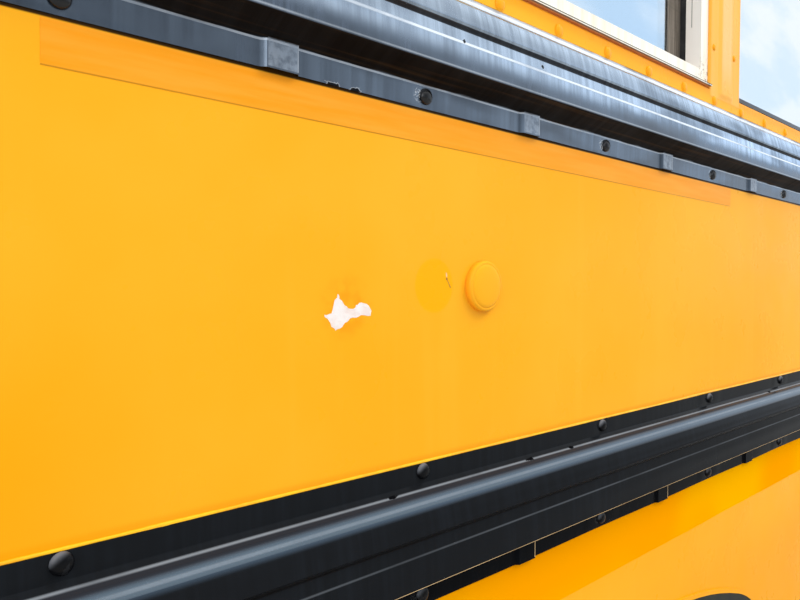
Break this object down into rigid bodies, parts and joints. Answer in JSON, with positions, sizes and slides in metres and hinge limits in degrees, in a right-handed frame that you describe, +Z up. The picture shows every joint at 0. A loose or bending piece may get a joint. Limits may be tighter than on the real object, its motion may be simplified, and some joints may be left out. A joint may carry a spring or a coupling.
{
  "type": "school bus body side wall section",
  "caption": "Side wall section of a school bus body: yellow skin between posts, black corrugated rub rails, sash windows over a belt strip, side lamp and wheel arch.",
  "frame": {"origin": "on the outer face of the skin at the floor line, at the middle of the section's length", "axes": "+X to the right as seen from outside, +Y into the bus, +Z up"},
  "size_m": [2.264, 0.15, 2.038],
  "materials": {
    "body_yellow": "weathered semi-gloss school bus yellow enamel over steel sheet",
    "rail_black": "gloss black enamel over roll-formed steel",
    "galvanised": "galvanised roll-formed steel",
    "undercoat": "black underbody coating on steel",
    "lining_grey": "pale grey enamel over steel sheet",
    "frame_cream": "cream paint on aluminium extrusion, worn at the corners",
    "sash_bronze": "weathered bronze anodised aluminium",
    "rubber_black": "matte black rubber",
    "window_glass": "clear safety glass with a slight tint",
    "lamp_yellow": "side lamp painted over with the body",
    "latch_black": "black moulded latch"
  },
  "bodies": {
    "root": {"arch_flange": "undercoat", "arch_trim": "rubber_black", "belt_strip": "body_yellow", "body_post_1": "galvanised", "body_post_2": "galvanised", "body_post_3": "galvanised", "body_post_4": "galvanised", "drip_rail": "body_yellow", "fixed_gasket": "rubber_black", "fixed_glass": "window_glass", "floor_sill": "galvanised", "header_channels": "galvanised", "header_panel": "body_yellow", "inner_header": "lining_grey", "inner_lining": "lining_grey", "inner_sill_cap": "lining_grey", "lamp_base": "lamp_yellow", "lamp_lens": "lamp_yellow", "lower_rub_rail": "rail_black", "lower_sash_1": "sash_bronze", "lower_sash_2": "sash_bronze", "name_panel": "body_yellow", "post_cover_1": "body_yellow", "post_cover_2": "body_yellow", "post_cover_3": "body_yellow", "post_cover_4": "body_yellow", "roof_rail": "galvanised", "sash_latches_1": "latch_black", "sash_latches_2": "latch_black", "sash_seal_1": "rubber_black", "sash_seal_2": "rubber_black", "seat_rail": "lining_grey", "side_stringers": "galvanised", "sill_channels": "galvanised", "skirt_braces": "galvanised", "skirt_panel": "body_yellow", "skirt_rails": "rail_black", "upper_rub_rail": "rail_black", "upper_sash_1": "sash_bronze", "upper_sash_2": "sash_bronze", "window_frame_1": "frame_cream", "window_frame_2": "frame_cream", "window_glass_1": "window_glass", "window_glass_2": "window_glass"}
  },
  "joints": []
}
